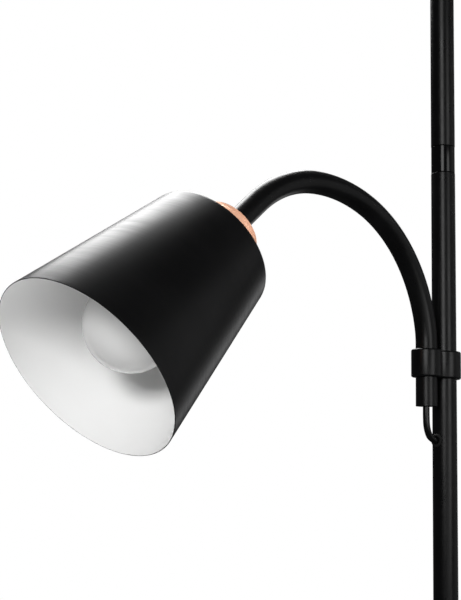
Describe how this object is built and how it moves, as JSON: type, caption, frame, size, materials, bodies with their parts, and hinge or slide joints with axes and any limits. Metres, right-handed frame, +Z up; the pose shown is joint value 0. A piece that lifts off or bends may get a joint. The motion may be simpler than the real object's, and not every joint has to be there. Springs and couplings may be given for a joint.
{
  "type": "torchiere floor lamp",
  "caption": "Floor lamp: round weighted base, slim pole, upward cone shade, and a clamped flexible arm with a small cone reading shade.",
  "frame": {"origin": "centre of the base's underside, on the floor", "axes": "+Z up along the pole; the reading arm bends in the XZ plane and reaches towards -X"},
  "size_m": [0.533, 0.28, 1.7859],
  "materials": {
    "black_paint": "satin",
    "shade_paint": "satin",
    "sleeve": "satin",
    "lead_pvc": "gloss",
    "black_plastic": "matte",
    "copper": "polished",
    "cast_iron": "matte",
    "steel": "satin",
    "brass": "satin",
    "cap_metal": "satin",
    "rubber": "matte",
    "felt": "matte",
    "opal_glass": "satin"
  },
  "bodies": {
    "root": {"base_felt": "felt", "base_weight": "cast_iron", "base_cover": "black_paint", "cord_gland": "rubber", "base_stud": "steel", "base_nut": "steel", "base_washer": "steel", "base_collar": "black_paint", "pole_tube_1": "black_paint", "pole_tube_2": "black_paint", "pole_tube_3": "black_paint", "pole_tube_4": "black_paint", "pole_coupler_1": "black_paint", "pole_coupler_2": "black_paint", "pole_coupler_3": "black_paint", "pole_bottom_insert": "steel", "pole_top_insert": "steel", "lead_grommet": "rubber", "arm_clamp": "black_paint", "clamp_pole_screw": "steel", "clamp_arm_screw": "steel", "arm_ferrule": "steel", "arm_sleeve_1": "sleeve", "arm_hose_1": "steel", "arm_lead_1": "lead_pvc", "torch_cup": "copper", "torch_nipple": "steel", "torch_locknut": "steel", "torch_holder": "black_plastic", "torch_contact_shell": "brass", "torch_shade": "shade_paint", "torch_shade_ring": "black_plastic", "torch_bulb_cap": "cap_metal", "torch_bulb_globe": "opal_glass"},
    "arm_link_1": {"arm_sleeve_2": "sleeve", "arm_hose_2": "steel", "arm_lead_2": "lead_pvc"},
    "arm_link_2": {"arm_sleeve_3": "sleeve", "arm_hose_3": "steel", "arm_lead_3": "lead_pvc"},
    "arm_link_3": {"arm_sleeve_4": "sleeve", "arm_hose_4": "steel", "arm_lead_4": "lead_pvc"},
    "arm_link_4": {"arm_sleeve_5": "sleeve", "arm_hose_5": "steel", "arm_lead_5": "lead_pvc"},
    "reading_head": {"arm_sleeve_6": "sleeve", "arm_hose_6": "steel", "arm_lead_6": "lead_pvc", "reading_cup": "copper", "reading_nipple": "steel", "reading_locknut": "steel", "reading_holder": "black_plastic", "reading_contact_shell": "brass", "reading_shade": "shade_paint", "reading_shade_ring": "black_plastic", "reading_bulb_cap": "cap_metal", "reading_bulb_globe": "opal_glass"}
  },
  "joints": [
    {"name": "arm_bend_1", "type": "hinge", "parent": "root", "child": "arm_link_1", "pos_m": [-0.02354, 0, 1.09724], "axis": [0, -1, 0], "range_deg": [-15, 25]},
    {"name": "arm_swing_2", "type": "hinge", "parent": "arm_link_1", "child": "arm_link_2", "pos_m": [-0.0482, 0, 1.1501], "axis": [0.766, 0, 0.6428], "range_deg": [-30, 30]},
    {"name": "arm_bend_3", "type": "hinge", "parent": "arm_link_2", "child": "arm_link_3", "pos_m": [-0.09623, 0, 1.18311], "axis": [0, -1, 0], "range_deg": [-30, 25]},
    {"name": "arm_swing_4", "type": "hinge", "parent": "arm_link_3", "child": "arm_link_4", "pos_m": [-0.1544, 0, 1.18923], "axis": [-0.1219, 0, 0.9925], "range_deg": [-30, 30]},
    {"name": "arm_bend_5", "type": "hinge", "parent": "arm_link_4", "child": "reading_head", "pos_m": [-0.20726, 0, 1.16514], "axis": [0, -1, 0], "range_deg": [-30, 25]}
  ]
}
